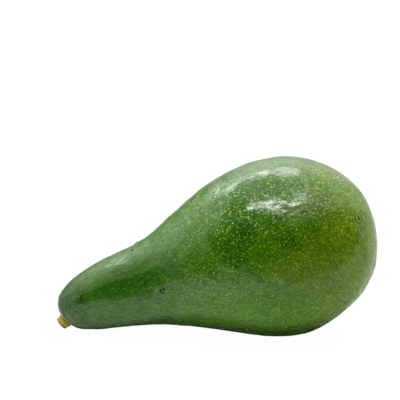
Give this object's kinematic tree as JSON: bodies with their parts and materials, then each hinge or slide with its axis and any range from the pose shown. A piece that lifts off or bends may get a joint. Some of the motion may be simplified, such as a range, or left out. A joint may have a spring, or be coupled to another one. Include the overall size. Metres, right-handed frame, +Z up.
{
  "type": "avocado",
  "caption": "Whole green pear-shaped avocado with a long neck and a cut stalk stump, lying on its side on a small flat spot.",
  "frame": {"origin": "centre of the object's box in X and Y, on the surface that it lies on", "axes": "+X along the fruit from the stalk end to the blossom end, +Z up"},
  "size_m": [0.151, 0.0843, 0.0837],
  "materials": {
    "fruit_skin": "waxy green avocado skin, glossy, finely pebbled, with small yellow-green dots",
    "stalk_bark": "rough ochre stalk, darker at its cut end"
  },
  "bodies": {
    "root": {"fruit_body": "fruit_skin", "stalk_stub": "stalk_bark"}
  },
  "joints": []
}
